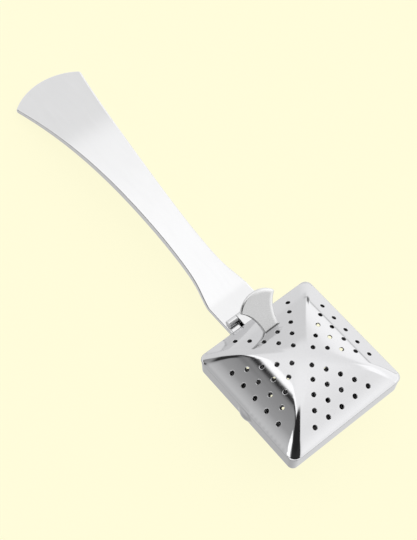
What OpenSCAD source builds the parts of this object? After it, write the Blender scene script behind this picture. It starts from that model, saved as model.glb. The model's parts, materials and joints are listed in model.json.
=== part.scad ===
// Tea infuser with a hinged, perforated head.
// The head is described level, its crown up, with z = 0 at the foot of the upright wall,
// and is then laid down the way it rests on a table: on the basket and the handle's end.
// +X points away from the handle and the hinge turns about Y.

/* [Head] */
// Outside width of the square head
head_side = 45; // [42:0.5:48]
// Corner rounding of the head, seen from above
corner_r = 3; // [2.5:0.25:4]
// Thickness of the pressed sheet of both shells
sheet_t = 0.5; // [0.4:0.05:0.6]
// Height of the upright wall around the basket
wall_h = 6.6; // [6.4:0.1:7]
// Rise of each vaulted shell from its rim to its crown
vault_rise = 9.6; // [9:0.1:11]
// Gap between the lid's edge and the top of the wall
seam = 0.15; // [0.1:0.05:0.2]
// Play between the lid's locating lip and the wall
lip_gap = 0.3; // [0.25:0.05:0.4]
// Depth that the lip reaches down inside the wall
lip_drop = 3; // [2:0.25:3.5]

/* [Perforation] */
// Diameter of each punched hole
hole_d = 1.4; // [1:0.1:1.8]
// Rows of holes on each face, the first holding one hole
hole_rows = 5; // [3:1:5]
// Distance from the centre of the head to the first row
first_row = 4.3; // [4:0.1:4.6]
// Distance between rows
row_pitch = 3.6; // [3.2:0.1:3.7]
// Distance between the holes of one row
hole_pitch = 5.45; // [5:0.05:5.6]

/* [Snap bumps] */
// How far each bump stands out of the wall
snap_out = 1.1; // [0.8:0.1:1.2]
// Radius of the ball that forms the bump
snap_r = 4.5; // [4:0.1:4.8]
// Height of the bump's centre
snap_z = 3.1; // [3:0.1:3.2]
// How far the matching nub stands out of the lip
nub_out = 0.2; // [0.1:0.05:0.2]

/* [Handle] */
// Thickness of the handle's sheet
strip_t = 1.1; // [1:0.1:1.2]
// Top of the handle's flat end, above the foot of the wall
strip_top = 4; // [3.8:0.1:4]
// Half width of the flat end
flat_half = 8.1; // [8:0.1:8.4]
// Distance from the head's centre to the bend where the handle starts to rise
bend_x = 35.4; // [34:0.1:38]
// Distance from the head's centre to the waist
waist_x = 60; // [57:1:64]
// Half width of the waist
waist_half = 5.35; // [5:0.05:6]
// Distance from the head's centre to the corners of the far end
flare_x = 132.2; // [128:0.2:134]
// Half width of the far end
flare_half = 13.65; // [12:0.05:15]
// Distance from the head's centre to the tip of the far end
tip_x = 137.5; // [137:0.1:139]
// Height of the top of the handle at its tip
tip_z = 13; // [12:0.25:14]
// Extra depth of the turned-down edges at the neck
flange_drop = 1.2; // [0.8:0.1:1.5]

/* [Hinge] */
// Distance from the head's centre to the hinge pin
pin_x = 26.25; // [26.2:0.05:26.6]
// Radius of the hinge pin
pin_r = 0.75; // [0.7:0.05:0.8]
// Radial running clearance of the pin in its knuckles
pin_play = 0.04; // [0.02:0.01:0.06]
// Thickness of both hinge leaves
leaf_t = 0.5; // [0.45:0.05:0.5]
// Half width of the hinge over its outer knuckles
hinge_half = 7.3; // [7.2:0.1:7.6]
// Half width of the middle knuckle and its tongue
tongue_half = 3.5; // [3.4:0.1:3.6]
// Side gap between knuckles
knuckle_gap = 0.15; // [0.1:0.05:0.2]

/* [Thumb tab] */
// Distance from the head's centre to the tab's foot on the lid
tab_foot_x = 13.9; // [13.5:0.1:14.2]
// Half width of the tab at its foot
tab_foot_half = 2.95; // [2.5:0.05:3.2]
// Half width of the tab across its tips
tab_tip_half = 7; // [6:0.1:7.5]
// Length of the tab from its foot to the line across its tips
tab_len = 9.7; // [9:0.1:10]
// How far the rounded end stands out beyond the tips
tab_bulge = 3.6; // [3:0.1:4]
// Lean of the tab, above level, back over the hinge
tab_lean = 42.5; // [42:0.5:46]
// Thickness of the tab
tab_t = 1.2; // [1:0.1:1.4]

/* [Hidden] */

head_half = head_side / 2;
// Both shells are cloister vaults: two crossed cylinders of this radius
vault_r = (pow(head_half, 2) + pow(vault_rise, 2)) / (2 * vault_rise);
vault_drop = vault_r - vault_rise;
lid_z = wall_h + seam;
lip_half = head_half - sheet_t - lip_gap;
lip_foot = wall_h - lip_drop;

knuckle_r = pin_r + pin_play + leaf_t;
pin_z = lid_z - knuckle_r;
pin_end = 0.25;

// The tangent under the basket and the handle's tip is the table
tip_under = tip_z - strip_t;
reach = norm([tip_x, vault_drop - tip_under]);
rest_tilt = atan2(tip_x, vault_drop - tip_under) - acos(vault_r / reach);
low_x = head_half * cos(rest_tilt);
high_x = tip_x * cos(rest_tilt) + tip_z * sin(rest_tilt);
rest_shift = [(high_x - low_x) / 2, 0, vault_r - vault_drop * cos(rest_tilt)];

over = 60;
smooth_fn = 96;
hole_fn = 24;
curve_steps = 10;
arc_steps = 8;

module at_rest() {
    translate(rest_shift)
        rotate([0, -rest_tilt, 0])
            children();
}

function bezier(p, t) =
    pow(1 - t, 3) * p[0] + 3 * pow(1 - t, 2) * t * p[1] + 3 * (1 - t) * t * t * p[2] + t * t * t * p[3];

function curve(p, steps = curve_steps, from = 0, to = 1) =
    [for (i = [0:steps]) bezier(p, from + (to - from) * i / steps)];

function reversed(list) = [for (i = [len(list) - 1:-1:0]) list[i]];

function mirrored_y(list) = [for (p = list) [p[0], -p[1]]];

// ---------- shells ----------

module square_prism(half, r, z_low, z_high) {
    translate([0, 0, z_low])
        linear_extrude(height = z_high - z_low) {
            square([2 * half, 2 * (half - r)], center = true);
            square([2 * (half - r), 2 * half], center = true);
            for (x = [-1, 1], y = [-1, 1])
                translate([x * (half - r), y * (half - r)])
                    circle(r = r, $fn = 48);
        }
}

module long_arch(r) {
    rotate([90, 0, 0])
        linear_extrude(height = over, center = true)
            intersection() {
                translate([0, -vault_drop])
                    circle(r = r, $fn = 2 * smooth_fn);
                translate([-over / 2, 0])
                    square([over, over]);
            }
}

// Space under a vault of the given cylinder radius, standing on z = 0
module vault(r, half, corner) {
    intersection() {
        long_arch(r);
        rotate([0, 0, 90])
            long_arch(r);
        square_prism(half, corner, 0, vault_rise + 1);
    }
}

module vault_outside() vault(vault_r, head_half, corner_r);

module vault_inside() vault(vault_r - sheet_t, head_half - sheet_t, corner_r - sheet_t);

// Straight punched holes; a face can leave the middle of its outer rows whole
module face_holes(keep_middle) {
    for (row = [0:hole_rows - 1], i = [0:row]) {
        in_middle = row >= 3 && i > 0 && i < row;
        if (!(keep_middle && in_middle))
            translate([first_row + row * row_pitch, (i - row / 2) * hole_pitch, 0])
                cylinder(d = hole_d, h = vault_rise + 1, $fn = hole_fn);
    }
}

module all_holes(whole_hinge_side) {
    for (side = [0:3])
        rotate([0, 0, 90 * side])
            face_holes(whole_hinge_side && side == 2);
}

// Ball that forms a snap bump on the face at y = half, standing out by the given height
module snap_ball(half, out, r) {
    for (side = [-1, 1])
        translate([0, side * (half + out - r), snap_z])
            sphere(r = r, $fn = smooth_fn);
}

module wall_and_bowl(half, corner) {
    square_prism(half, corner, 0, wall_h);
    mirror([0, 0, 1])
        children();
}

module basket() {
    wall_half = head_half - sheet_t;
    notch_half = tongue_half + 2 * knuckle_gap;
    notch_z = pin_z + knuckle_r - 2 * leaf_t;
    color("silver")
        at_rest()
            difference() {
                union() {
                    wall_and_bowl(head_half, corner_r)
                        vault_outside();
                    snap_ball(head_half, snap_out, snap_r);
                }
                square_prism(wall_half, corner_r - sheet_t, 0, wall_h + 1);
                mirror([0, 0, 1])
                    vault_inside();
                snap_ball(wall_half, snap_out, snap_r);
                mirror([0, 0, 1])
                    all_holes(false);
                translate([-head_half - 1, -notch_half, notch_z])
                    cube([3, 2 * notch_half, wall_h]);
            }
}

// Locating lip welded inside the lid's edge, with a slot for the hinge tongue and its pad
module lip_ring() {
    slot_half = tongue_half + knuckle_gap;
    difference() {
        union() {
            intersection() {
                square_prism(lip_half, corner_r - sheet_t - lip_gap, lip_foot, lid_z + 2);
                union() {
                    translate([0, 0, lid_z])
                        vault_outside();
                    square_prism(head_half, corner_r, lip_foot - 1, lid_z);
                }
            }
            intersection() {
                snap_ball(lip_half, nub_out, snap_r);
                square_prism(head_half, corner_r, lip_foot, lid_z);
            }
        }
        square_prism(lip_half - sheet_t, corner_r - 2 * sheet_t - lip_gap, lip_foot - 1, lid_z + 3);
        translate([-head_half, -slot_half, lip_foot - 1])
            cube([2 * sheet_t + 2, 2 * slot_half, lid_z - lip_foot + 4]);
    }
}

module lid() {
    color("gainsboro")
        at_rest()
            union() {
                translate([0, 0, lid_z])
                    difference() {
                        vault_outside();
                        vault_inside();
                        all_holes(true);
                    }
                lip_ring();
            }
}

// ---------- handle ----------

rise_curve = [[-bend_x, strip_top], [-85.7, 16.3], [-99.5, 18.3], [-tip_x, tip_z]];
neck_curve = [[-bend_x, flat_half], [-43.6, 6.6], [-42.3, waist_half], [-waist_x, waist_half]];
flare_curve = [[-waist_x, waist_half], [-waist_x, waist_half], [-97.3, 5.3], [-flare_x, flare_half]];

tip_bulge = tip_x - flare_x;
tip_r = (pow(flare_half, 2) + pow(tip_bulge, 2)) / (2 * tip_bulge);
tip_angle = asin(flare_half / tip_r);

function end_arc() =
    [for (i = [1:2 * arc_steps - 1])
        let (a = 180 - tip_angle + tip_angle * i / arc_steps)
            [tip_r - tip_x + tip_r * cos(a), tip_r * sin(a)]];

// One flank from the weld on the basket to just short of the far corner
function flank(inset) = [
    for (p = concat([[-head_half, flat_half]], curve(neck_curve), curve(flare_curve, from = 0.1, to = 0.985)))
        [p[0], p[1] - inset]
];

// Turned-down edges are deepest at the neck and fade out at both ends
function edge_depth(t) = strip_t + flange_drop * sin(180 * sqrt(t));

function lowered(from, to, drop) =
    [for (i = [0:2 * curve_steps])
        let (t = from + (to - from) * i / (2 * curve_steps))
            bezier(rise_curve, t) - [0, drop ? edge_depth(t) : strip_t]];

module side_extrude() {
    rotate([90, 0, 0])
        linear_extrude(height = over, center = true)
            children();
}

module handle_blank() {
    side = flank(0);
    intersection() {
        translate([0, 0, -over / 2])
            linear_extrude(height = over)
                polygon(concat(side, end_arc(), reversed(mirrored_y(side))));
        side_extrude()
            polygon(concat(
                [[-head_half, strip_top]],
                curve(rise_curve, 2 * curve_steps),
                reversed(lowered(0, 1, true)),
                [[-head_half, strip_top - strip_t]]
            ));
    }
}

// Hollow under the handle, between its turned-down edges
module handle_hollow() {
    pocket = [for (p = flank(strip_t)) if (p[0] < -bend_x && p[0] > -flare_x + 12) p];
    roof = lowered(0.02, 0.86, false);
    intersection() {
        translate([0, 0, -over / 2])
            linear_extrude(height = over)
                polygon(concat(pocket, reversed(mirrored_y(pocket))));
        side_extrude()
            polygon(concat(roof, [roof[2 * curve_steps] - [0, 10], roof[0] - [0, 10]]));
    }
}

module handle() {
    color("silver")
        at_rest()
            difference() {
                handle_blank();
                handle_hollow();
            }
}

// ---------- hinge ----------

module along_pin(y_low, y_high, r, facets = 48) {
    translate([-pin_x, y_high, pin_z])
        rotate([90, 0, 0])
            cylinder(r = r, h = y_high - y_low, $fn = facets);
}

// Plate on the handle's flat end, with a knuckle at each side rolled up round the pin
module handle_hinge_leaf() {
    inner = tongue_half + knuckle_gap;
    plate_end = head_half + 0.45;
    curl_slot = 0.35;
    color("whitesmoke")
        at_rest()
            difference() {
                union() {
                    translate([-pin_x, -hinge_half, strip_top])
                        cube([pin_x - plate_end, 2 * hinge_half, leaf_t]);
                    for (side = [0, 1])
                        mirror([0, side, 0])
                            along_pin(inner, hinge_half, knuckle_r);
                }
                along_pin(-hinge_half - 1, hinge_half + 1, pin_r + pin_play);
                translate([-pin_x - knuckle_r, -inner, strip_top - 1])
                    cube([2 * knuckle_r + 0.3, 2 * inner, 2 * knuckle_r + 2]);
                translate([-pin_x, -hinge_half - 1, strip_top + leaf_t])
                    cube([knuckle_r + 1, 2 * hinge_half + 2, curl_slot]);
            }
}

module hinge_pin() {
    color("lightgray")
        at_rest()
            translate([-pin_x, 0, pin_z])
                rotate([90, 0, 0])
                    rotate_extrude($fn = 48)
                        polygon([
                            [0, -hinge_half - pin_end],
                            [pin_r - pin_end, -hinge_half - pin_end],
                            [pin_r, -hinge_half],
                            [pin_r, hinge_half],
                            [pin_r - pin_end, hinge_half + pin_end],
                            [0, hinge_half + pin_end]
                        ]);
}

// Middle knuckle, tongue through the rim and a pad welded under the lid's hinge side
module lid_hinge_leaf() {
    weld_gap = 0.05;
    pad_r = vault_r - sheet_t - weld_gap;
    pad_far = head_half - sheet_t - lip_gap;
    tongue_end = pad_far - 0.6;
    color("whitesmoke")
        at_rest()
            difference() {
                union() {
                    along_pin(-tongue_half, tongue_half, knuckle_r);
                    translate([-pin_x, -tongue_half, lid_z - leaf_t])
                        cube([pin_x - tongue_end, 2 * tongue_half, leaf_t]);
                    intersection() {
                        translate([0, tongue_half, lid_z - vault_drop])
                            rotate([90, 0, 0])
                                difference() {
                                    cylinder(r = pad_r, h = 2 * tongue_half, $fn = 2 * smooth_fn);
                                    translate([0, 0, -1])
                                        cylinder(r = pad_r - leaf_t, h = 2 * tongue_half + 2, $fn = 2 * smooth_fn);
                                }
                        translate([-pad_far, -tongue_half, lid_z - leaf_t])
                            cube([pad_far - tab_foot_x, 2 * tongue_half, vault_rise]);
                    }
                }
                along_pin(-tongue_half - 1, tongue_half + 1, pin_r + pin_play);
            }
}

// ---------- thumb tab ----------

tab_end_r = (pow(tab_tip_half, 2) + pow(tab_bulge, 2)) / (2 * tab_bulge);
tab_end_angle = asin(tab_tip_half / tab_end_r);
tab_edge = [[0, tab_foot_half], [4.5, tab_foot_half], [8, tab_foot_half + 1.6], [tab_len, tab_tip_half]];

function tab_end() =
    [for (i = [1:2 * arc_steps - 1])
        let (a = tab_end_angle * (1 - i / arc_steps))
            [tab_len + tab_bulge - tab_end_r + tab_end_r * cos(a), tab_end_r * sin(a)]];

module thumb_tab() {
    root = 1.5;
    side = concat([[-root, tab_foot_half]], curve(tab_edge));
    foot_z = lid_z - vault_drop + sqrt(pow(vault_r, 2) - pow(tab_foot_x, 2));
    weld_gap = 0.03;
    color("lightgray")
        at_rest()
            difference() {
                translate([-tab_foot_x, 0, foot_z])
                    rotate([0, 180 + tab_lean, 0])
                        linear_extrude(height = tab_t)
                            polygon(concat(side, tab_end(), reversed(mirrored_y(side))));
                translate([0, over / 2, lid_z - vault_drop])
                    rotate([90, 0, 0])
                        cylinder(r = vault_r + weld_gap, h = over, $fn = 2 * smooth_fn);
            }
}

handle();
handle_hinge_leaf();
hinge_pin();
basket();
lid();
lid_hinge_leaf();
thumb_tab();
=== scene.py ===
"""Looks for the tea infuser: pressed and polished steel shells on a long handle.

Every piece is built level, in millimetres, in the head's own frame: the origin is under the
middle of the head at the foot of its upright wall, the crown is up and the handle runs along -X.
place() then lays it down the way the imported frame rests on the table.
"""

import json
import math

import bpy
import numpy as np
from mathutils import Matrix, Vector, geometry


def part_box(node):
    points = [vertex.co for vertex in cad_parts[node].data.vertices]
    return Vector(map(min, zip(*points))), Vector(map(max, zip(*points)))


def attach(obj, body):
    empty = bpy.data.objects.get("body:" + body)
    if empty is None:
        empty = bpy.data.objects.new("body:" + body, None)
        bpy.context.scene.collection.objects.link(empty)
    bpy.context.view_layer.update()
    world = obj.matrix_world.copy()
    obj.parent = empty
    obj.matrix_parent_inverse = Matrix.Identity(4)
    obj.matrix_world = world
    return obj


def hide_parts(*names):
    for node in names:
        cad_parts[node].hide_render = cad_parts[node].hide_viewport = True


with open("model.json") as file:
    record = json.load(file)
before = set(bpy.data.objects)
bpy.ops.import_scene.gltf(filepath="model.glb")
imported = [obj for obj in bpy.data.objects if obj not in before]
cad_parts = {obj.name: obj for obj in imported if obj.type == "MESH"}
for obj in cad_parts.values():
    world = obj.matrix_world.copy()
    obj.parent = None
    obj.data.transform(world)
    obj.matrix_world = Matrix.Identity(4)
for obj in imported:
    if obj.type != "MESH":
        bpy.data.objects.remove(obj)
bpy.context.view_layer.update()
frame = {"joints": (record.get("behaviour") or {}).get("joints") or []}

MM = 0.001

# ---------- sizes, in millimetres, as in the part's source unless a comment says otherwise ----------

HEAD_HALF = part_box("lid")[1].y / MM
CORNER_R = 2.3  # a little sharper than the source's 3.0
SHEET_T = 0.5
SHEET_LOOK_T = 0.45  # thickness of the shells and the lip in these meshes
WALL_H = 6.6
VAULT_RISE = 9.6
LID_GAP = 0.15
LID_Z = WALL_H + LID_GAP
VAULT_R = (HEAD_HALF**2 + VAULT_RISE**2) / (2 * VAULT_RISE)
VAULT_DROP = VAULT_R - VAULT_RISE

HOLE_R = 0.7
HOLE_ROWS = 5
FIRST_ROW = 4.3
ROW_PITCH = 3.6
HOLE_PITCH = 5.45
HOLE_STEPS = 28
TAB_ROW = 3  # from this row out, the lid's hinge side has no holes between the row's two ends

SNAP_OUT = 1.1
SNAP_R = 4.5
SNAP_Z = 3.1

STRIP_T = 1.1
STRIP_TOP = 4.0
FLAT_HALF = 8.1
BEND_X = 35.4
WAIST_X = 60.0
WAIST_HALF = 5.35
FLARE_X = 132.2
FLARE_HALF = 13.65
TIP_X = 137.5
TIP_Z = 13.0
FLANGE_DROP = 1.2

PIN_X = 26.25
PIN_R = 0.75
LEAF_T = 0.5
KNUCKLE_R = PIN_R + 0.04 + LEAF_T
PIN_Z = LID_Z - KNUCKLE_R
HINGE_HALF = 7.3
TONGUE_HALF = 3.5
KNUCKLE_GAP = 0.15

TAB_FOOT_X = 13.9
TAB_FOOT_HALF = 2.95
TAB_TIP_HALF = 7.0
TAB_LEN = 9.7
TAB_BULGE = 3.6
TAB_LEAN = math.radians(42.5)
TAB_T = 1.2

# ---------- from the head's frame to the row frame ----------

TIP_UNDER = TIP_Z - STRIP_T
REACH = math.hypot(TIP_X, VAULT_DROP - TIP_UNDER)
REST_TILT = math.atan2(TIP_X, VAULT_DROP - TIP_UNDER) - math.acos(VAULT_R / REACH)
TURN = Matrix.Rotation(-REST_TILT, 3, "Y")
PIN_ROW = Vector(frame["joints"][0]["pos_m"]) / MM
SHIFT = PIN_ROW - TURN @ Vector((-PIN_X, 0, PIN_Z))


def place(points):
    """Head-frame points in millimetres, as row-frame points in metres."""
    return (np.asarray(points, float) @ np.array(TURN).T + np.array(SHIFT)) * MM


def turned(normals):
    return np.asarray(normals, float) @ np.array(TURN).T


# ---------- small geometry helpers ----------


def unit(v):
    return v / np.maximum(np.linalg.norm(v, axis=-1, keepdims=True), 1e-12)


def bezier(p, t):
    p = np.asarray(p, float)
    t = np.asarray(t, float)[..., None]
    return (1 - t) ** 3 * p[0] + 3 * (1 - t) ** 2 * t * p[1] + 3 * (1 - t) * t**2 * p[2] + t**3 * p[3]


def smoothstep(x, low, high):
    t = np.clip((x - low) / (high - low), 0, 1)
    return t * t * (3 - 2 * t)


def arc(centre, radius, start, end, steps):
    """Points of an arc, angles in radians, both ends included."""
    a = np.linspace(start, end, steps + 1)
    return np.stack([centre[0] + radius * np.cos(a), centre[1] + radius * np.sin(a)], 1)


def fillet(corners, radii, steps=8):
    """A closed outline, anticlockwise, with each corner rounded by its radius; 0 keeps a point as it is."""
    corners = np.asarray(corners, float)
    outline = []
    for i, (c, r) in enumerate(zip(corners, radii)):
        if r == 0:
            outline.append(c)
            continue
        a = unit(corners[i - 1] - c)
        b = unit(corners[(i + 1) % len(corners)] - c)
        half = 0.5 * math.acos(np.clip(a @ b, -1, 1))
        centre = c + unit(a + b) * r / math.sin(half)
        start = c + a * r / math.tan(half) - centre
        end = c + b * r / math.tan(half) - centre
        sweep = math.atan2(start[0] * end[1] - start[1] * end[0], start @ end)
        first = math.atan2(start[1], start[0])
        outline.extend(arc(centre, r, first, first + sweep, steps))
    return np.array(outline)


def resampled(outline, step):
    """The closed outline with no stretch longer than the step."""
    points = []
    for a, b in zip(outline, np.roll(outline, -1, 0)):
        n = max(1, math.ceil(np.linalg.norm(b - a) / step))
        points.extend(a + (b - a) * i / n for i in range(n))
    return np.array(points)


def outward(outline):
    """Outward normals of a closed anticlockwise outline."""
    before = unit(outline - np.roll(outline, 1, 0))
    after = unit(np.roll(outline, -1, 0) - outline)
    t = unit(before + after)
    return np.stack([t[:, 1], -t[:, 0]], 1)


def inside(points, outline):
    """Which points lie inside a closed outline."""
    x, y = points[:, 0][:, None], points[:, 1][:, None]
    x0, y0 = outline[:, 0], outline[:, 1]
    x1, y1 = np.roll(x0, -1), np.roll(y0, -1)
    crosses = (y0 > y) != (y1 > y)
    with np.errstate(divide="ignore", invalid="ignore"):
        at = x0 + (y - y0) * (x1 - x0) / (y1 - y0)
    return (np.where(crosses, x < at, False).sum(1) % 2) == 1


# ---------- meshes ----------


def make_piece(name, points, faces, materials, body, normals=None, wear=None, slots=None):
    """An object from head-frame points, riding on a body. Wear is 1 at edges that get rubbed bright; on the
    tab its lighter colour is also a painted highlight.
    """
    mesh = bpy.data.meshes.new(name)
    mesh.from_pydata(place(points).tolist(), [], faces)
    mesh.polygons.foreach_set("use_smooth", [True] * len(mesh.polygons))
    mark = mesh.attributes.new("wear", "FLOAT", "POINT")
    mark.data.foreach_set("value", np.zeros(len(points)) if wear is None else np.asarray(wear, float))
    grain = mesh.attributes.new("grain", "FLOAT_VECTOR", "POINT")
    grain.data.foreach_set("vector", (np.asarray(points, float) * MM).ravel())
    for material in materials:
        mesh.materials.append(material)
    if slots is not None:
        mesh.polygons.foreach_set("material_index", slots)
    mesh.update()
    if normals is not None:
        mesh.normals_split_custom_set_from_vertices(turned(unit(np.asarray(normals, float))).tolist())
    piece = bpy.data.objects.new(name, mesh)
    bpy.context.scene.collection.objects.link(piece)
    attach(piece, body)
    return piece


def band(a, b, count):
    """Quads between two rings of vertices that start at indices a and b."""
    return [(a + i, a + (i + 1) % count, b + (i + 1) % count, b + i) for i in range(count)]


# Rounded lip of a punched hole: (radius, how far it has sunk, how far its normal has turned)
LIP = 0.2
HOLE_RINGS = [
    (HOLE_R + LIP * (1 - math.sin(a)), LIP * (1 - math.cos(a)), a)
    for a in (math.radians(d) for d in (0, 30, 60, 90))
]


class Sheet:
    """A flat triangulation of an outline with round holes, to be bent into the two faces of a plate.

    The outline's points come first, then each hole's rings from the widest to the hole itself, then the rest.
    """

    def __init__(self, outline, holes=(), spacing=0.6, extra=()):
        self.outline = np.asarray(outline, float)
        self.holes = [np.asarray(h, float) for h in holes]
        count = len(self.outline)
        turn = np.linspace(0, 2 * math.pi, HOLE_STEPS, endpoint=False)
        self.spokes = np.stack([np.cos(turn), np.sin(turn)], 1)
        points = [self.outline]
        edges = [(i, (i + 1) % count) for i in range(count)]
        at = count
        for hole in self.holes:
            for radius, _, _ in HOLE_RINGS:
                points.append(hole + radius * self.spokes)
            first = at + (len(HOLE_RINGS) - 1) * HOLE_STEPS
            edges += [(first + i, first + (i + 1) % HOLE_STEPS) for i in range(HOLE_STEPS)]
            at += len(HOLE_RINGS) * HOLE_STEPS
        fill = self.clear_of_holes(np.asarray(extra, float).reshape(-1, 2), 0.1)
        fill = self.off_the_edge(fill, 0.25 * spacing)
        grid = self.grid(spacing)
        if len(fill):
            grid = grid[self.distance(grid, fill) > 0.55 * spacing]
        points += [fill, grid]
        self.points = np.concatenate(points)
        found, _, faces, _, _, _ = geometry.delaunay_2d_cdt(
            [Vector(p) for p in self.points.tolist()], edges, [], 0, 1e-6
        )
        assert len(found) == len(self.points), "two points of the sheet fall together"
        faces = np.array(faces)
        middle = self.points[faces].mean(1)
        keep = inside(middle, self.outline)
        for hole in self.holes:
            keep &= np.linalg.norm(middle - hole, axis=1) > HOLE_R * math.cos(math.pi / HOLE_STEPS)
        self.faces = faces[keep]
        self.outline_count = count

    @staticmethod
    def distance(points, others):
        """Distance from each point to the nearest of the others."""
        nearest = np.full(len(points), 1e9)
        for first in range(0, len(others), 400):
            block = others[first : first + 400]
            gap = np.linalg.norm(points[:, None] - block[None], axis=2).min(1)
            nearest = np.minimum(nearest, gap)
        return nearest

    def clear_of_holes(self, points, margin):
        for hole in self.holes:
            points = points[np.linalg.norm(points - hole, axis=1) > HOLE_RINGS[0][0] + margin]
        return points

    def off_the_edge(self, points, margin):
        if not len(points):
            return points
        points = points[inside(points, self.outline)]
        return points[self.distance(points, self.outline) > margin]

    def grid(self, spacing):
        low, high = self.outline.min(0), self.outline.max(0)
        x = np.arange(low[0] + spacing / 2, high[0], spacing)
        y = np.arange(low[1] + spacing / 2, high[1], spacing)
        points = np.stack(np.meshgrid(x, y), -1).reshape(-1, 2)
        points[:, 0] += 0.25 * spacing * ((np.round(points[:, 1] / spacing) % 2) - 0.5)
        return self.off_the_edge(self.clear_of_holes(points, 0.35 * spacing), 0.6 * spacing)

    def hole_ring(self, hole, ring):
        """Index of the first vertex of a hole's ring."""
        return self.outline_count + (hole * len(HOLE_RINGS) + ring) * HOLE_STEPS


def plate(sheet, top, rim, thickness, under=None, flip=False):
    """Bends a sheet into a closed plate.

    top(xy) gives the outer face's points and normals, and the inner face lies at the thickness under it.
    The rim is a list of rings (points, normals, wear and painted highlight) from the outer face's outline to
    the inner one's.
    The inner face can be a sheet of its own, with an outline of as many points.
    Returns points, faces, normals, wear and painted highlight, and 1 for each face of the inside.
    """
    outer, outer_n = top(sheet.points)
    low = under or sheet
    inner, inner_n = top(low.points)
    inner = inner - thickness * inner_n
    inner_n = -inner_n
    wear = np.zeros(len(outer))
    to_axis = np.concatenate([-sheet.spokes, np.zeros((HOLE_STEPS, 1))], 1)
    for h in range(len(sheet.holes)):
        for r, (_, sunk, angle) in enumerate(HOLE_RINGS):
            k = slice(sheet.hole_ring(h, r), sheet.hole_ring(h, r) + HOLE_STEPS)
            outer[k] -= sunk * outer_n[k]
            inner[k] -= 0.5 * sunk * inner_n[k]
            wear[k] = 0.4 + 0.6 * math.sin(angle)
            outer_n[k] = math.cos(angle) * outer_n[k] + math.sin(angle) * to_axis
            inner_n[k] = math.cos(angle) * inner_n[k] + math.sin(angle) * to_axis
    points, normals, marks = [outer, inner], [outer_n, inner_n], [wear, np.zeros(len(inner))]
    count, size = sheet.outline_count, len(outer)
    faces = [tuple(f) for f in sheet.faces]
    inside_faces = [tuple(size + i for i in reversed(f)) for f in low.faces]
    for h in range(len(sheet.holes)):
        ring = sheet.hole_ring(h, len(HOLE_RINGS) - 1)
        inside_faces += band(ring, size + ring, HOLE_STEPS)
    starts = [0] + [size + len(inner) + i * count for i in range(len(rim))] + [size]
    for ring, ring_n, ring_wear_and_painted_highlight in rim:
        points.append(ring)
        normals.append(ring_n)
        marks.append(np.full(count, float(ring_wear_and_painted_highlight)))
    rim_faces = [f for a, b in zip(starts, starts[1:]) for f in band(b, a, count)]
    slots = [0] * len(faces) + [1] * len(inside_faces) + [0] * len(rim_faces)
    faces = [tuple(int(i) for i in f) for f in faces + inside_faces + rim_faces]
    if flip:
        faces = [tuple(reversed(f)) for f in faces]
    return np.concatenate(points), faces, np.concatenate(normals), np.concatenate(marks), slots


def rim_ring(outline, sides, inset, height, angle, wear=0.0):
    """A ring of the rim, inset from the outline, whose normal has turned by the angle from up to outward."""
    flat = outline - inset * sides
    n = len(outline)
    height = np.broadcast_to(height, n)
    ring = np.concatenate([flat, height[:, None]], 1)
    normal = np.concatenate([math.sin(angle) * sides, np.full((n, 1), math.cos(angle))], 1)
    return ring, normal, wear


# ---------- the vaulted shells ----------


def ridge_width(x, y):
    """The width over which a ridge is rounded: soft at the crown, crisp half way, round at the corner."""
    crisp_width, crown_extra, corner_width = 1.8, 10.0, 4.4
    crisp_from, corner_at = 13.0, 21.6
    q = np.sqrt((x * x + y * y) / 2)
    crisp = crisp_width + crown_extra * np.clip(1 - q / crisp_from, 0, 1) ** 1.5
    width = crisp + (corner_width - crisp) * smoothstep(q, crisp_from, corner_at)
    return width * q / (q + 0.75 * width)


def span(x, y):
    """Distance from the head's middle to the nearest side's parallel, smooth across the four ridges."""
    a, b = np.abs(x), np.abs(y)
    k = np.maximum(ridge_width(x, y), 1e-9)
    overlap = np.maximum(k - np.abs(a - b), 0)
    return np.maximum(a, b) + overlap**2 / (4 * k)


def vault_height(x, y):
    """Height of the vault over its edge, easing into a small flat at the four corners."""
    flat, soft = 0.22, 0.12
    m = np.minimum(span(x, y), VAULT_R - 0.5)
    height = np.sqrt(VAULT_R**2 - m**2) - VAULT_DROP
    return 0.5 * (height + flat + np.sqrt((height - flat) ** 2 + soft**2))


def vault_top(xy):
    """Points and normals of a vault that stands on z = 0."""
    x, y = xy[:, 0], xy[:, 1]
    e = 1e-3
    dx = (vault_height(x + e, y) - vault_height(x - e, y)) / (2 * e)
    dy = (vault_height(x, y + e) - vault_height(x, y - e)) / (2 * e)
    points = np.stack([x, y, vault_height(x, y)], 1)
    return points, unit(np.stack([-dx, -dy, np.ones_like(x)], 1))


def rounded_square(half, radius, step):
    corners = [(half, -half), (half, half), (-half, half), (-half, -half)]
    return resampled(fillet(corners, [radius] * 4, steps=10), step)


def face_holes(side, keep_middle):
    """Hole centres of one face; a face can leave the middle of its outer rows whole."""
    turn = math.radians(90 * side)
    c, s = math.cos(turn), math.sin(turn)
    for row in range(HOLE_ROWS):
        for i in range(row + 1):
            if keep_middle and row >= TAB_ROW and 0 < i < row:
                continue
            x, y = FIRST_ROW + row * ROW_PITCH, (i - row / 2) * HOLE_PITCH
            yield (c * x - s * y, s * x + c * y)


def ridge_points():
    """Extra points along the four ridges, where the sheet bends most."""
    first, last, step = 4.0, 21.4, 0.28
    along = np.arange(first, last, step)
    points = []
    for sx, sy in ((1, 1), (1, -1), (-1, 1), (-1, -1)):
        for across in (-1.05, -0.75, -0.5, -0.25, 0, 0.25, 0.5, 0.75, 1.05):
            shifted = along + (0.5 * step if round(across * 4) % 2 else 0.0)
            points.append(np.stack([sx * (shifted + across), sy * (shifted - across)], 1))
    return np.concatenate(points)


OUTLINE = rounded_square(HEAD_HALF, CORNER_R, 0.45)
SIDES = outward(OUTLINE)
LID_OVER = 0.18  # how far the lid stands out past the basket's lip
LID_INSET = 0.3  # from the outline to where the lid's vault begins
BASKET_INSET = 0.6  # the same for the basket, whose wall tapers toward its foot


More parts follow.
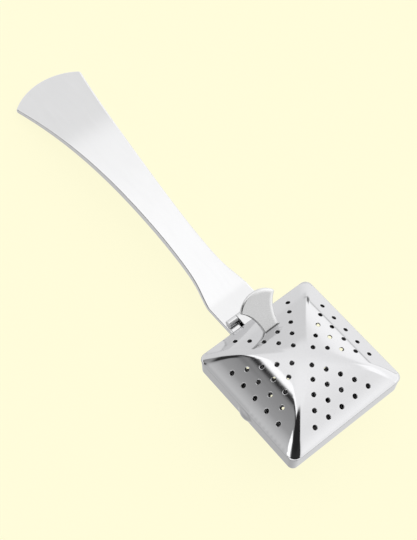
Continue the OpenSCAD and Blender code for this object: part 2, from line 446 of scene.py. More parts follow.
def vault_sheet(whole_hinge_side, inset):
    holes = [h for side in range(4) for h in face_holes(side, whole_hinge_side and side == 2)]
    return Sheet(OUTLINE - inset * SIDES, holes, spacing=0.6, extra=ridge_points())


def make_lid(materials):
    sheet = vault_sheet(True, LID_INSET - LID_OVER)
    edge = [  # inset, height above the lid's edge, angle of the normal, wear
        (0.13, 0.19, 62, 0.5),
        (0.03, 0.1, 80, 0.8),
        (0.0, 0.05, 92, 1.0),
        (0.05, 0.01, 135, 0.8),
        (0.16, 0.0, 180, 0.3),
        (0.4, 0.0, 180, 0.0),
    ]
    rim = [rim_ring(OUTLINE, SIDES, i - LID_OVER, LID_Z + z, math.radians(a), w) for i, z, a, w in edge]
    stretch = 1 + LID_OVER / HEAD_HALF

    def top(xy):
        points, normals = vault_top(xy / stretch)
        points[:, :2] *= stretch
        points[:, 2] += LID_Z
        return points, normals

    points, faces, normals, wear, slots = plate(sheet, top, rim, SHEET_LOOK_T)
    piece = make_piece("lid_shell", points, faces, materials, "lid", normals, wear, slots)
    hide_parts("lid")


def bump(along, z, out, radius):
    """How far a snap bump stands out of the wall, with a soft foot."""
    ball = radius**2 - along**2 - (z - SNAP_Z) ** 2
    height = np.sqrt(np.maximum(ball, 0)) - (radius - out)
    soft = 0.16
    return 0.5 * (height + np.sqrt(height**2 + soft**2)) * smoothstep(height, -0.6, 0.1)


def bumped(ring, normal, sign):
    """Pushes a wall ring out, or in for the inner face, where the snap bumps are."""
    ring, normal = ring.copy(), normal.copy()
    e = 1e-3
    for side in (-1, 1):
        k = ring[:, 1] * side > HEAD_HALF - 1.5
        x, z = ring[k, 0], ring[k, 2]
        push = bump(x, z, SNAP_OUT, SNAP_R)
        slope_x = (bump(x + e, z, SNAP_OUT, SNAP_R) - bump(x - e, z, SNAP_OUT, SNAP_R)) / (2 * e)
        slope_z = (bump(x, z + e, SNAP_OUT, SNAP_R) - bump(x, z - e, SNAP_OUT, SNAP_R)) / (2 * e)
        ring[k, 1] += side * push
        turned_out = np.stack([-slope_x, np.zeros_like(x), -slope_z], 1)
        normal[k] = unit(normal[k] + sign * turned_out * np.abs(normal[k][:, 1:2]))
    return ring, normal


def make_basket(materials):
    sheet = vault_sheet(False, BASKET_INSET)
    bend_r = 1.0
    start = math.asin((HEAD_HALF - BASKET_INSET) / VAULT_R)
    bend_inset = bend_r * (1 - math.sin(start))
    foot = -float(vault_height(np.array([HEAD_HALF - BASKET_INSET]), np.array([0.0]))[0])
    bend_z = foot + bend_r * math.cos(start)
    notch_half = TONGUE_HALF + 2 * KNUCKLE_GAP
    notch_soft, notch_floor = 0.35, 5.75
    beside_hinge = smoothstep(np.abs(OUTLINE[:, 1]), notch_half, notch_half + notch_soft)
    at_hinge = (OUTLINE[:, 0] < -HEAD_HALF + 1) * (1 - beside_hinge)
    wall_top = WALL_H - at_hinge * (WALL_H - notch_floor)
    rim = []

    def add(inset, height, angle, wear=0.0, sign=1):
        ring, normal, wear = rim_ring(OUTLINE, SIDES, inset, height, math.radians(angle), wear)
        ring, normal = bumped(ring, normal, sign)
        rim.append((ring, normal, wear))

    # Round the foot, up the outside, over the lip and down the inside
    for a in np.linspace(math.degrees(start), 90, 7)[1:]:
        turn = math.radians(a)
        inset = BASKET_INSET - bend_inset + bend_r * (1 - math.sin(turn))
        add(inset, bend_z - bend_r * math.cos(turn), 180 - a, 0.4)
    wall_inset = BASKET_INSET - bend_inset
    lip_r = 0.2
    share = np.linspace(0, 1, 17)[1:]
    for s in share:
        add(wall_inset * (1 - s), bend_z + s * (wall_top - lip_r - bend_z), 90, 0.9 if s == 1 else 0.0)
    for a in (60, 30, 0):
        turn = math.radians(a)
        add(lip_r * (1 - math.sin(turn)), wall_top - lip_r * (1 - math.cos(turn)), a, 1.0)
    for a in (-30, -60, -90):
        turn = math.radians(a)
        add(SHEET_T - lip_r * (1 + math.sin(turn)), wall_top - lip_r * (1 - math.cos(turn)), a, 0.8, -1)
    inner_foot = 0.35
    for s in np.linspace(0, 1, 13)[1:]:
        add(SHEET_T, wall_top - lip_r + s * (inner_foot - wall_top + lip_r), -90, 0.0, -1)

    def top(xy):
        points, normals = vault_top(xy)
        return points * (1, 1, -1), normals * (1, 1, -1)

    points, faces, normals, wear, slots = plate(sheet, top, rim, SHEET_LOOK_T, flip=True)
    piece = make_piece("basket_shell", points, faces, materials, "basket", normals, wear, slots)
    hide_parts("basket")


# ---------- strips of sheet: hinge leaves and the lid's lip ----------


def strip(middle, normals, thickness, keep):
    """A closed plate around a grid of points; keep says which cells of the grid are there."""
    rows, columns = middle.shape[:2]
    upper = middle + 0.5 * thickness * normals
    lower = middle - 0.5 * thickness * normals
    points = np.concatenate([upper.reshape(-1, 3), lower.reshape(-1, 3)])
    low = rows * columns

    def there(i, j):
        return 0 <= i < rows - 1 and 0 <= j < columns - 1 and bool(keep[i, j])

    faces = []
    for i in range(rows - 1):
        for j in range(columns - 1):
            if not there(i, j):
                continue
            a = i * columns + j
            b = a + columns
            c, d = b + 1, a + 1
            faces.append((a, b, c, d))
            faces.append((low + d, low + c, low + b, low + a))
            sides = (((i, j - 1), a, b), ((i + 1, j), b, c), ((i, j + 1), c, d), ((i - 1, j), d, a))
            faces += [(q, p, low + p, low + q) for cell, p, q in sides if not there(*cell)]
    used = sorted({i for f in faces for i in f})
    renumber = {old: new for new, old in enumerate(used)}
    return points[used], [tuple(renumber[i] for i in f) for f in faces]


def soften(piece, width, angle=35):
    """Rounds a piece's hard edges and keeps the rest smooth."""
    bevel = piece.modifiers.new("edges", "BEVEL")
    bevel.width = width * MM
    bevel.segments = 3
    bevel.limit_method = "ANGLE"
    bevel.angle_limit = math.radians(angle)
    bevel.harden_normals = True
    piece.data.set_sharp_from_angle(angle=math.radians(angle))


def rolled_leaf(path, stations, keep):
    """A leaf whose section is a path in x and z, over stations across the hinge."""
    path, stations = np.asarray(path, float), np.asarray(stations, float)
    along = unit(np.gradient(path, axis=0))
    across = np.stack([-along[:, 1], along[:, 0]], 1)
    middle = np.zeros((len(path), len(stations), 3))
    normals = np.zeros_like(middle)
    middle[..., 0], middle[..., 2] = path[:, 0][:, None], path[:, 1][:, None]
    middle[..., 1] = stations[None]
    normals[..., 0], normals[..., 2] = across[:, 0][:, None], across[:, 1][:, None]
    return strip(middle, normals, LEAF_T, keep)


def make_handle_leaf(material):
    """Plate on the handle's flat end, its two ends rolled up round the pin."""
    inner = TONGUE_HALF + KNUCKLE_GAP
    roll_r = KNUCKLE_R - LEAF_T / 2
    plate_z = STRIP_TOP + LEAF_T / 2 + 0.01
    curl = arc((-PIN_X, PIN_Z), roll_r, math.radians(-105), math.radians(-385), 30)
    straight = [(-HEAD_HALF - 0.45, plate_z)]
    straight += [(-PIN_X + KNUCKLE_R + 0.3, plate_z), (-PIN_X + 0.55, plate_z + 0.02)]
    path = np.concatenate([straight, curl])
    stations = [-HINGE_HALF, -inner, inner, HINGE_HALF]
    keep = np.ones((len(path) - 1, 3), bool)
    keep[1:, 1] = False
    points, faces = rolled_leaf(path, stations, keep)
    piece = make_piece("handle_leaf", points, faces, [material], "basket")
    soften(piece, 0.07)
    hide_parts("handle_hinge_leaf")


def make_lid_leaf(material):
    """Middle knuckle, the tongue through the rim, and the pad welded under the lid."""
    roll_r = KNUCKLE_R - LEAF_T / 2
    pad_r = VAULT_R - SHEET_T - 0.08 - LEAF_T / 2
    centre = LID_Z - VAULT_DROP
    pad_x = np.linspace(-TAB_FOOT_X - 0.3, -HEAD_HALF + 1.5, 9)
    pad = np.stack([pad_x, centre + np.sqrt(pad_r**2 - pad_x**2)], 1)
    tongue_z = LID_Z - LEAF_T / 2 - 0.02
    tongue = [(-HEAD_HALF + 0.7, tongue_z + 0.03), (-HEAD_HALF, tongue_z), (-PIN_X + 0.6, tongue_z)]
    curl = arc((-PIN_X, PIN_Z), roll_r, math.radians(100), math.radians(385), 30)
    path = np.concatenate([pad, tongue, curl])
    stations = np.array([-TONGUE_HALF, TONGUE_HALF])
    keep = np.ones((len(path) - 1, 1), bool)
    points, faces = rolled_leaf(path, stations, keep)
    piece = make_piece("lid_leaf", points, faces, [material], "lid")
    soften(piece, 0.07)
    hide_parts("lid_hinge_leaf")


def bar(half, dome):
    """A round bar about the Y axis with domed ends; dome lists (radius, height past the end)."""
    turns = 40
    profile = [(r, -half - z) for r, z in dome] + [(r, half + z) for r, z in reversed(dome)]
    inner = profile[1:-1]
    angle = np.linspace(0, 2 * math.pi, turns, endpoint=False)
    rings = [np.stack([r * np.cos(angle), np.full(turns, y), r * np.sin(angle)], 1) for r, y in inner]
    ends = [[0, profile[0][1], 0], [0, profile[-1][1], 0]]
    points = np.concatenate(rings + [np.array(ends)])
    faces = [f for k in range(len(inner) - 1) for f in band((k + 1) * turns, k * turns, turns)]
    first, last = len(points) - 2, (len(inner) - 1) * turns
    faces += [(first, i, (i + 1) % turns) for i in range(turns)]
    faces += [(first + 1, last + (i + 1) % turns, last + i) for i in range(turns)]
    return points, faces


def make_pin(material):
    dome = [(0.0, 0.25), (0.3, 0.22), (0.55, 0.12), (PIN_R - 0.04, 0.02), (PIN_R, -0.06)]
    points, faces = bar(HINGE_HALF, dome)
    piece = make_piece("pin", points + (-PIN_X, 0, PIN_Z), faces, [material], "basket")
    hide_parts("hinge_pin")


def make_lip(material):
    """Locating lip inside the lid's edge, slotted for the hinge, with a nub behind each snap bump."""
    slot_half = TONGUE_HALF + KNUCKLE_GAP + 0.1
    lip_inset, lip_drop, lip_up, nub_out = 1.05, 3.0, 0.15, 0.25
    order = np.argsort((np.degrees(np.arctan2(OUTLINE[:, 1], OUTLINE[:, 0])) + 180) % 360)
    ring, sides = OUTLINE[order], SIDES[order]
    beside = (ring[:, 0] < 0) & (np.abs(ring[:, 1]) < slot_half)
    ring, sides = ring[~beside], sides[~beside]
    levels = np.linspace(WALL_H - lip_drop, LID_Z + lip_up, 12)
    middle = np.zeros((len(ring), len(levels), 3))
    normals = np.zeros_like(middle)
    middle[..., :2] = (ring - lip_inset * sides)[:, None]
    middle[..., 2] = levels[None]
    normals[..., :2] = sides[:, None]
    nub = bump(middle[..., 0], middle[..., 2], nub_out, SNAP_R)
    middle[..., 1] += np.sign(middle[..., 1]) * nub * (np.abs(normals[..., 1]) > 0.9)
    keep = np.ones((len(ring) - 1, len(levels) - 1), bool)
    points, faces = strip(middle, normals, SHEET_LOOK_T, keep)
    piece = make_piece("lid_lip", points, faces, [material], "lid")
    soften(piece, 0.1)


# ---------- handle ----------

RISE = [(-BEND_X, STRIP_TOP), (-85.7, 16.3), (-99.5, 18.3), (-TIP_X, TIP_Z)]
NECK = [(-BEND_X, FLAT_HALF), (-43.6, 6.6), (-42.3, WAIST_HALF), (-WAIST_X, WAIST_HALF)]
FLARE = [(-WAIST_X, WAIST_HALF), (-WAIST_X, WAIST_HALF), (-97.3, 5.3), (-FLARE_X, FLARE_HALF)]
RISE_T = np.linspace(0, 1, 401)
RISE_AT = bezier(RISE, RISE_T)


def rise_share(x):
    """How far along the handle's rise a place is, 0 at the bend and 1 at the tip."""
    return np.interp(-x, -RISE_AT[:, 0], RISE_T)


def handle_height(x):
    bend = np.interp(-x, -RISE_AT[:, 0], RISE_AT[:, 1])
    return np.where(x > -BEND_X, STRIP_TOP, bend)


def handle_top(xy):
    """Top face of the handle, with the bend at its neck eased over a few millimetres."""
    x = xy[:, 0]
    ease = 1.6
    reach = np.linspace(-ease, ease, 9)
    weight = np.cos(0.5 * math.pi * reach / (1.1 * ease))
    weight /= weight.sum()
    z = sum(w * handle_height(x + r) for w, r in zip(weight, reach))
    e = 0.4
    ahead = sum(w * handle_height(x + e + r) for w, r in zip(weight, reach))
    behind = sum(w * handle_height(x - e + r) for w, r in zip(weight, reach))
    slope = (ahead - behind) / (2 * e)
    return np.stack([x, xy[:, 1], z], 1), unit(np.stack([-slope, np.zeros_like(x), np.ones_like(x)], 1))


def handle_outline():
    bulge = TIP_X - FLARE_X
    tip_r = (FLARE_HALF**2 + bulge**2) / (2 * bulge)
    half = math.asin(FLARE_HALF / tip_r)
    flank = np.concatenate([bezier(NECK, np.linspace(0, 1, 13)), bezier(FLARE, np.linspace(0.12, 1, 22))])
    end = arc((tip_r - TIP_X, 0), tip_r, math.pi - half, math.pi + half, 16)[1:-1]
    down = flank[::-1] * (1, -1)
    into_head, root_r, far_r = 0.3, 1.15, 1.4
    root = into_head - HEAD_HALF
    corners = np.concatenate([[(root, -FLAT_HALF), (root, FLAT_HALF)], flank, end, down])
    radii = np.zeros(len(corners))
    radii[:2] = root_r
    radii[1 + len(flank)] = far_r
    radii[2 + len(flank) + len(end)] = far_r
    return resampled(fillet(corners, radii), 0.8)


def make_handle(materials):
    outline = handle_outline()
    sides = outward(outline)
    edge_r, flange_t, blade_t = 0.7, 0.9, STRIP_T - 0.25
    depth = STRIP_T + FLANGE_DROP * np.sin(math.pi * np.sqrt(rise_share(outline[:, 0])))
    depth = np.maximum(depth, STRIP_T)
    rim = []

    def add(inset, drop, angle, wear=0.0):
        ring, normal, wear = rim_ring(outline, sides, inset, 0.0, math.radians(angle), wear)
        ring[:, 2] = handle_top(ring)[0][:, 2] - drop
        rim.append((ring, normal, wear))

    for a in (15, 30, 45, 60, 75, 90):
        turn = math.radians(a)
        add(edge_r * (1 - math.sin(turn)), edge_r * (1 - math.cos(turn)), a, 1.0)
    low_r = 0.2
    cut_from = len(rim)
    add(0, 0.5 * (depth - low_r + edge_r), 90)
    add(0, depth - low_r, 90)
    add(0.3 * low_r, depth - 0.3 * low_r, 135, 0.8)
    add(low_r, depth, 180, 0.3)
    add(flange_t - low_r, depth, 180)
    add(flange_t - 0.3 * low_r, depth - 0.3 * low_r, 225)
    add(flange_t + 0.02, depth - low_r, 260)
    sheet = Sheet(outline - edge_r * sides, spacing=1.0)
    under = Sheet(outline - (flange_t + 0.12) * sides, spacing=1.6)
    points, faces, normals, wear, _ = plate(sheet, handle_top, rim, blade_t, under=under)
    # The strip's side is sheared steel: the four bands that end at the rings from cut_from on
    count = len(outline)
    first = len(faces) - (len(rim) + 1 - cut_from) * count
    slots = np.zeros(len(faces), int)
    slots[first : first + 4 * count] = 1
    piece = make_piece("handle_blade", points, faces, materials, "basket", normals, wear, slots)
    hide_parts("handle")


# ---------- thumb tab ----------


def make_tab(material):
    """Flared tab, leaning back from the lid, with fully rounded edges."""
    edge = [(0, TAB_FOOT_HALF), (4.5, TAB_FOOT_HALF), (8, TAB_FOOT_HALF + 1.6), (TAB_LEN, TAB_TIP_HALF)]
    end_r = (TAB_TIP_HALF**2 + TAB_BULGE**2) / (2 * TAB_BULGE)
    half = math.asin(TAB_TIP_HALF / end_r)
    root, root_r, tip_r = -0.6, 0.6, 0.7
    flank = bezier(edge, np.linspace(0, 1, 10))
    end = arc((TAB_LEN + TAB_BULGE - end_r, 0), end_r, half, -half, 16)[1:-1]
    upper = np.concatenate([[(root, TAB_FOOT_HALF)], flank, end])
    corners = np.concatenate([upper, flank[::-1] * (1, -1), [(root, -TAB_FOOT_HALF)]])[::-1]
    radii = np.zeros(len(corners))
    radii[[0, -1]] = root_r
    radii[len(flank)] = tip_r
    radii[len(flank) + 1 + len(end)] = tip_r
    outline = resampled(fillet(corners, radii), 0.4)
    sides = outward(outline)
    edge_r, crown, border = 0.5, 0.16, 1.1
    rim = []
    # Every ring of the rounded edge counts as rubbed: smoother, and lighter as a painted highlight.
    for a in (30, 45, 60, 75, 90, 110, 135, 160):
        turn = math.radians(a)
        drop = crown + edge_r * (1 - math.cos(turn)) + (TAB_T - 2 * edge_r) * (a > 90)
        rim.append(rim_ring(outline, sides, edge_r * (1 - math.sin(turn)), -drop, turn, 1.0))
    sheet = Sheet(outline - edge_r * sides, spacing=0.35)

    def rolled(xy):
        """How far into the thumb's side of the border a point lies, 0 to 1, and the way out to the edge."""
        gap = np.linalg.norm(xy[:, None] - outline[None], axis=2)
        out = sides[gap.argmin(1)]
        share = np.clip(1 - (gap.min(1) - edge_r) / border, 0, 1)
        return share * smoothstep(-out[:, 1], -0.35, 0.25), out

    def top(xy):
        share, out = rolled(xy)
        slope = 2 * crown * share / border
        points = np.column_stack([xy, -crown * share**2])
        return points, unit(np.column_stack([slope[:, None] * out, np.ones(len(xy))]))

    points, faces, normals, wear, _ = plate(sheet, top, rim, TAB_T)
    # The rolled border on the thumb's side is rubbed smooth, and its lighter colour there is a painted
    # highlight.
    wear[: len(sheet.points)] = 0.8 * smoothstep(rolled(sheet.points)[0], 0.0, 1.0)
    c, s = math.cos(TAB_LEAN), math.sin(TAB_LEAN)
    axes = np.array([(-c, 0, s), (0, -1, 0), (s, 0, c)])
    foot = (-TAB_FOOT_X, 0, LID_Z + math.sqrt(VAULT_R**2 - TAB_FOOT_X**2) - VAULT_DROP)
    points, normals = points @ axes + foot, normals @ axes
    floor = LID_Z + np.sqrt(VAULT_R**2 - points[:, 0] ** 2) - VAULT_DROP - 0.15
    points[:, 2] = np.maximum(points[:, 2], floor)
    piece = make_piece("tab", points, faces, [material], "lid", normals, wear)
    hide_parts("thumb_tab")


def make_shaded_weld(material):
    """Thin bead of weld across the front of the tab's foot, coloured very dark as painted shade of the gap
    under the foot.
    """
    bead_r, ahead, lift = 0.16, 0.12, 0.05
    dome = [(0.0, 0.0), (0.5 * bead_r, -0.13 * bead_r), (0.87 * bead_r, -0.5 * bead_r), (bead_r, -bead_r)]
    points, faces = bar(TAB_FOOT_HALF - 0.05, dome)
    x = ahead - TAB_FOOT_X
    z = LID_Z + math.sqrt(VAULT_R**2 - x**2) - VAULT_DROP + lift
    piece = make_piece("tab_weld", points + (x, 0, z), faces, [material], "lid")


# ---------- materials ----------


def node_tree(material):
    material.use_nodes = True
    tree = material.node_tree
    tree.nodes.clear()
    return tree


def steel(name, colour, roughness, spread, grain, grain_scale, bump_height, streak, edge_look=None):
    """Polished or satin steel: roughness clouds, fine streaks along one direction and rubbed edges, whose
    lighter colour on the satin tab is also a painted highlight.
    """
    material = bpy.data.materials.new(name)
    tree = node_tree(material)
    nodes, links = tree.nodes, tree.links
    out = nodes.new("ShaderNodeOutputMaterial")
    shader = nodes.new("ShaderNodeBsdfPrincipled")
    shader.inputs["Metallic"].default_value = 1.0
    links.new(shader.outputs["BSDF"], out.inputs["Surface"])

    place_node = nodes.new("ShaderNodeAttribute")
    place_node.attribute_name = "grain"
    worn_and_painted_highlight = nodes.new("ShaderNodeAttribute")
    worn_and_painted_highlight.attribute_name = "wear"

    clouds = nodes.new("ShaderNodeTexNoise")
    clouds.inputs["Scale"].default_value = 130.0
    clouds.inputs["Detail"].default_value = 4.0
    links.new(place_node.outputs["Vector"], clouds.inputs["Vector"])

    stretch = nodes.new("ShaderNodeMapping")
    stretch.inputs["Scale"].default_value = streak
    links.new(place_node.outputs["Vector"], stretch.inputs["Vector"])
    fine = nodes.new("ShaderNodeTexNoise")
    fine.inputs["Scale"].default_value = grain_scale
    fine.inputs["Detail"].default_value = 6.0
    fine.inputs["Roughness"].default_value = 0.6
    links.new(stretch.outputs["Vector"], fine.inputs["Vector"])

    mix = nodes.new("ShaderNodeMix")
    mix.data_type = "FLOAT"
    mix.inputs["Factor"].default_value = grain
    links.new(clouds.outputs["Fac"], mix.inputs["A"])
    links.new(fine.outputs["Fac"], mix.inputs["B"])

    rough = nodes.new("ShaderNodeMapRange")
    rough.inputs["From Min"].default_value = 0.3
    rough.inputs["From Max"].default_value = 0.7
    rough.inputs["To Min"].default_value = roughness - spread
    rough.inputs["To Max"].default_value = roughness + spread
    links.new(mix.outputs["Result"], rough.inputs["Value"])
    edge_colour, edge_roughness = edge_look or ([min(1.0, c * 1.04) for c in colour], roughness)
    smooth = nodes.new("ShaderNodeMix")
    smooth.data_type = "FLOAT"
    smooth.inputs["B"].default_value = edge_roughness
    links.new(worn_and_painted_highlight.outputs["Fac"], smooth.inputs["Factor"])
    links.new(rough.outputs["Result"], smooth.inputs["A"])
    links.new(smooth.outputs["Result"], shader.inputs["Roughness"])

    tint = nodes.new("ShaderNodeValToRGB")
    tint.color_ramp.elements[0].position = 0.3
    tint.color_ramp.elements[0].color = [c * 0.965 for c in colour] + [1]
    tint.color_ramp.elements[1].position = 0.7
    tint.color_ramp.elements[1].color = list(colour) + [1]
    links.new(mix.outputs["Result"], tint.inputs["Fac"])
    edge = nodes.new("ShaderNodeMix")
    edge.data_type = "RGBA"
    edge.inputs["B"].default_value = (*edge_colour, 1)
    links.new(worn_and_painted_highlight.outputs["Fac"], edge.inputs["Factor"])
    links.new(tint.outputs["Color"], edge.inputs["A"])
    links.new(edge.outputs["Result"], shader.inputs["Base Color"])

    relief = nodes.new("ShaderNodeBump")
    relief.inputs["Strength"].default_value = 1.0
    relief.inputs["Distance"].default_value = bump_height * MM
    links.new(fine.outputs["Fac"], relief.inputs["Height"])
    links.new(relief.outputs["Normal"], shader.inputs["Normal"])
    return material


def make_materials():
    even, on_handle, on_hinge = (1, 1, 1), (0.06, 1, 1), (1, 0.15, 1)
    # Edges of the satin tab: rubbed smoother, and their much lighter colour is a painted highlight.
    rubbed_and_painted_highlight = ((0.74, 0.74, 0.74), 0.18)
    # name, colour, roughness, its spread, share of grain, grain scale, relief in millimetres, grain stretch
    looks = {
        "shell": ("polished_shell_steel", (0.69, 0.69, 0.70), 0.08, 0.03, 0.5, 900.0, 0.0006, even),
        "inside": ("plain_inside_steel", (0.46, 0.46, 0.46), 0.42, 0.08, 0.6, 1500.0, 0.003, even),
        "handle": ("polished_handle_steel", (0.82, 0.82, 0.825), 0.12, 0.04, 0.7, 700.0, 0.0008, on_handle),
        "cut": ("sheared_edge_steel", (0.93, 0.93, 0.93), 0.25, 0.08, 0.7, 1500.0, 0.004, even),
        # Very dark, as painted shade of the gap under the tab's foot.
        "weld": ("dull_weld_steel", (0.2, 0.2, 0.2), 0.5, 0.08, 0.6, 1500.0, 0.006, even),
        "satin": ("satin_tab_steel", (0.55, 0.55, 0.55), 0.3, 0.06, 0.8, 2600.0, 0.004, even, rubbed_and_painted_highlight),
        "hinge": ("hinge_steel", (0.8, 0.8, 0.805), 0.12, 0.04, 0.6, 1200.0, 0.001, on_hinge),
    }
    return {use: steel(*look) for use, look in looks.items()}


# ---------- stage, light and camera ----------

FLOOR_COLOUR = (1.0, 0.972, 0.705)


class Sky:
    """A studio of soft boxes and dark flags, built as world nodes from the direction alone."""

    def __init__(self):
        self.world = bpy.data.worlds.new("studio")
        bpy.context.scene.world = self.world
        self.world.use_nodes = True
        self.tree = self.world.node_tree
        self.tree.nodes.clear()
        where = self.tree.nodes.new("ShaderNodeTexCoord")
        self.direction = where.outputs["Generated"]
        split = self.tree.nodes.new("ShaderNodeSeparateXYZ")
        self.tree.links.new(self.direction, split.inputs["Vector"])
        self.x, self.y, self.z = split.outputs
        self.level = None

    def apply(self, operation, a, b=0.0):
        node = self.tree.nodes.new("ShaderNodeMath")
        node.operation = operation
        for socket, value in zip(node.inputs, (a, b)):
            if isinstance(value, (int, float)):
                socket.default_value = value
            else:
                self.tree.links.new(value, socket)
        return node.outputs[0]

    def step(self, value, low, high):
        """Smoothly 0 to 1 as the value goes from low to high."""
        node = self.tree.nodes.new("ShaderNodeMapRange")
        node.interpolation_type = "SMOOTHSTEP"
        node.inputs["From Min"].default_value = low
        node.inputs["From Max"].default_value = high
        self.tree.links.new(value, node.inputs["Value"])
        return node.outputs["Result"]

    def ramp(self, value, low, high, stops):
        """Brightness along a value: stops are (value, brightness)."""
        scale = self.tree.nodes.new("ShaderNodeMapRange")
        scale.inputs["From Min"].default_value = low
        scale.inputs["From Max"].default_value = high
        self.tree.links.new(value, scale.inputs["Value"])
        node = self.tree.nodes.new("ShaderNodeValToRGB")
        elements = node.color_ramp.elements
        while len(elements) < len(stops):
            elements.new(0.5)
        for element, (value_at, bright) in zip(elements, stops):
            element.position = (value_at - low) / (high - low)
            element.color = (bright, bright, bright, 1)
        self.tree.links.new(scale.outputs["Result"], node.inputs["Fac"])
        return node.outputs["Color"]

    def blend(self, mask, low, high):
        """low where the mask is 0, high where it is 1."""
        node = self.tree.nodes.new("ShaderNodeMix")
        node.data_type = "FLOAT"
        self.tree.links.new(mask, node.inputs["Factor"])
        for socket, value in ((node.inputs["A"], low), (node.inputs["B"], high)):
            if isinstance(value, (int, float)):
                socket.default_value = value
            else:
                self.tree.links.new(value, socket)
        return node.outputs["Result"]

    def panel(self, azimuth, elevation, half_width, half_height, soft, bright):
        """A soft-edged rectangle of the given brightness, its sizes in degrees on the sky."""
        a = math.radians(azimuth)
        along_x = self.apply("MULTIPLY", self.x, math.cos(a))
        along_y = self.apply("MULTIPLY", self.y, math.sin(a))
        forward = self.apply("ADD", along_x, along_y)
        across_y = self.apply("MULTIPLY", self.y, math.cos(a))
        across_x = self.apply("MULTIPLY", self.x, math.sin(a))
        side = self.apply("SUBTRACT", across_y, across_x)
        across = self.apply("ABSOLUTE", self.apply("ARCTAN2", side, forward))
        height = self.apply("SUBTRACT", self.apply("ARCSINE", self.z), math.radians(elevation))
        up = self.apply("ABSOLUTE", height)
        edge_a = self.step(across, math.radians(half_width + soft), math.radians(half_width - soft))
        edge_b = self.step(up, math.radians(half_height + soft), math.radians(half_height - soft))
        self.level = self.blend(self.apply("MULTIPLY", edge_a, edge_b), self.level, bright)

    def spot(self, azimuth, elevation, inner, outer, bright):
        """A soft-edged disc of the given brightness, its radii in degrees on the sky."""
        a, e = math.radians(azimuth), math.radians(elevation)
        dot = self.tree.nodes.new("ShaderNodeVectorMath")
        dot.operation = "DOT_PRODUCT"
        self.tree.links.new(self.direction, dot.inputs[0])
        dot.inputs[1].default_value = (math.cos(a) * math.cos(e), math.sin(a) * math.cos(e), math.sin(e))
        mask = self.step(dot.outputs["Value"], math.cos(math.radians(outer)), math.cos(math.radians(inner)))
        self.level = self.blend(mask, self.level, bright)

    def finish(self, backdrop):
        """The camera sees a plain backdrop; everything else is lit by the studio."""
        tree, strength = self.tree, 1.2
        lit = tree.nodes.new("ShaderNodeBackground")
        tree.links.new(self.level, lit.inputs["Color"])
        lit.inputs["Strength"].default_value = strength
        plain = tree.nodes.new("ShaderNodeBackground")
        plain.inputs["Color"].default_value = (*backdrop, 1)
        path = tree.nodes.new("ShaderNodeLightPath")
        mix = tree.nodes.new("ShaderNodeMixShader")
        tree.links.new(path.outputs["Is Camera Ray"], mix.inputs["Fac"])
        tree.links.new(lit.outputs["Background"], mix.inputs[1])
        tree.links.new(plain.outputs["Background"], mix.inputs[2])
        out = tree.nodes.new("ShaderNodeOutputWorld")
        tree.links.new(mix.outputs["Shader"], out.inputs["Surface"])


def make_light():
    """Panels and flags for the steel to reflect.

    Their places and levels follow tones measured in the photograph and the directions that the steel
    reflects from the main view. So this light suits that view, and it is not a plain one.
    """
    sky = Sky()
    # The bright half of the room, over the table's white surface
    bright = [(0.0, 0.95), (0.12, 1.1), (0.25, 1.1), (0.45, 1.05)]
    bright += [(0.6, 0.93), (0.72, 0.91), (0.86, 0.94), (0.96, 1.02)]
    room = sky.ramp(sky.z, 0.0, 1.0, bright)
    table_level, shaded, lit_side, lit_end = 0.58, 0.39, 0.36, 0.1
    shade = sky.apply("MULTIPLY", sky.apply("MULTIPLY", sky.apply("MINIMUM", sky.y), sky.z), shaded)
    table = sky.apply("SUBTRACT", table_level, shade)
    table = sky.apply("ADD", table, sky.apply("MULTIPLY", sky.apply("MAXIMUM", sky.y), lit_side))
    table = sky.apply("SUBTRACT", table, sky.apply("MULTIPLY", sky.apply("MINIMUM", sky.x), lit_end))
    above = sky.step(sky.z, 0.0, 0.06)
    sky.level = sky.blend(above, table, room)
    # Each panel: azimuth, elevation, half width, half height and softness in degrees, then brightness
    sky.panel(160, 20, 28, 24, 4, 0.75)
    # The overhead box ends in a bright edge, and the room is dark beyond it, toward -Y
    box_lean = 0.34
    beyond = sky.apply("ADD", sky.y, sky.apply("MULTIPLY", sky.z, box_lean))
    edge = [(-0.95, 0.65), (-0.84, 0.64), (-0.78, 0.6), (-0.69, 0.5), (-0.6, 0.37), (-0.4, 0.31)]
    edge += [(-0.24, 0.29), (-0.18, 0.2), (-0.14, 0.04), (-0.1, 0.03), (-0.06, 0.1)]
    edge += [(-0.03, 0.8), (-0.01, 1.25), (0.09, 1.22)]
    dark = sky.ramp(beyond, -1.0, 0.2, edge)
    mask = sky.apply("MULTIPLY", sky.step(beyond, 0.12, 0.1), above)
    sky.level = sky.blend(mask, sky.level, dark)
    sky.panel(-178, 24, 23, 26, 2, 0.75)
    sky.panel(-143, 34, 14, 13, 4, 0.03)
    sky.panel(-95, 38, 10, 12, 2, 1.3)
    sky.panel(66, 40, 24, 12, 6, 1.2)
    sky.panel(100, 3.5, 45, 0.9, 0.8, 0.5)
    sky.panel(121, 6, 7, 4, 2, 0.2)
    sky.spot(-40, 62, 24, 30, 0.02)
    sky.panel(-36, 41, 42, 9, 3, 0.03)
    sky.finish(FLOOR_COLOUR)


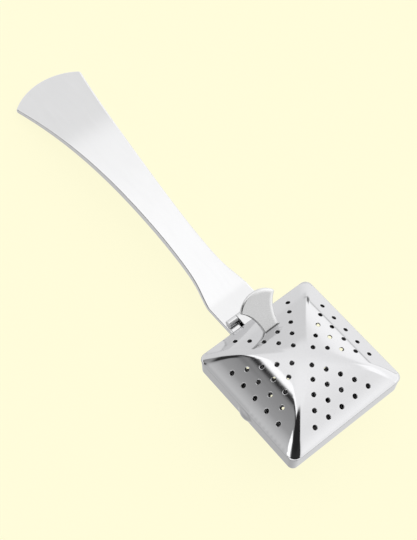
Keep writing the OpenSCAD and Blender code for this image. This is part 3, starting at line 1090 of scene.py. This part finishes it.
def make_floor():
    """A pale sheet with light of its own, which keeps it even, and left out of the steel's reflections."""
    size, reflected, own_light = 3.0, 0.1, 0.93
    mesh = bpy.data.meshes.new("floor")
    corners = [(-size, -size, 0), (size, -size, 0), (size, size, 0), (-size, size, 0)]
    mesh.from_pydata(corners, [], [(0, 1, 2, 3)])
    material = bpy.data.materials.new("pale_paper")
    tree = node_tree(material)
    out = tree.nodes.new("ShaderNodeOutputMaterial")
    shader = tree.nodes.new("ShaderNodeBsdfPrincipled")
    shader.inputs["Base Color"].default_value = (*[reflected * c for c in FLOOR_COLOUR], 1)
    shader.inputs["Roughness"].default_value = 1.0
    shader.inputs["Specular IOR Level"].default_value = 0.0
    shader.inputs["Emission Color"].default_value = (*FLOOR_COLOUR, 1)
    shader.inputs["Emission Strength"].default_value = own_light
    tree.links.new(shader.outputs["BSDF"], out.inputs["Surface"])
    mesh.materials.append(material)
    floor = bpy.data.objects.new("floor", mesh)
    bpy.context.scene.collection.objects.link(floor)
    floor.visible_glossy = False


def make_camera():
    """The main view, from above the handle's right side and a little rolled."""
    place_at = Vector((0.11188, -0.13710, 0.39566))
    aim = Vector((0.009667, 0.003526, 0.0))
    roll = math.radians(16.37)
    camera = bpy.data.cameras.new("camera")
    camera.sensor_width = 36.0
    camera.lens = 86.67
    camera.clip_start = 0.01
    camera.clip_end = 20.0
    thing = bpy.data.objects.new("camera", camera)
    bpy.context.scene.collection.objects.link(thing)
    look = (aim - place_at).to_track_quat("-Z", "Y").to_matrix()
    look = look @ Matrix.Rotation(roll, 3, "Z")
    thing.matrix_world = Matrix.Translation(place_at) @ look.to_4x4()
    bpy.context.scene.camera = thing


scene = bpy.context.scene
scene.view_settings.view_transform = "Standard"
make_camera()
make_light()
make_floor()
materials = make_materials()
make_lid([materials["shell"], materials["inside"]])
make_basket([materials["shell"], materials["inside"]])
make_lip(materials["inside"])
make_handle([materials["handle"], materials["cut"]])
make_handle_leaf(materials["hinge"])
make_lid_leaf(materials["hinge"])
make_pin(materials["hinge"])
make_tab(materials["satin"])
make_shaded_weld(materials["weld"])
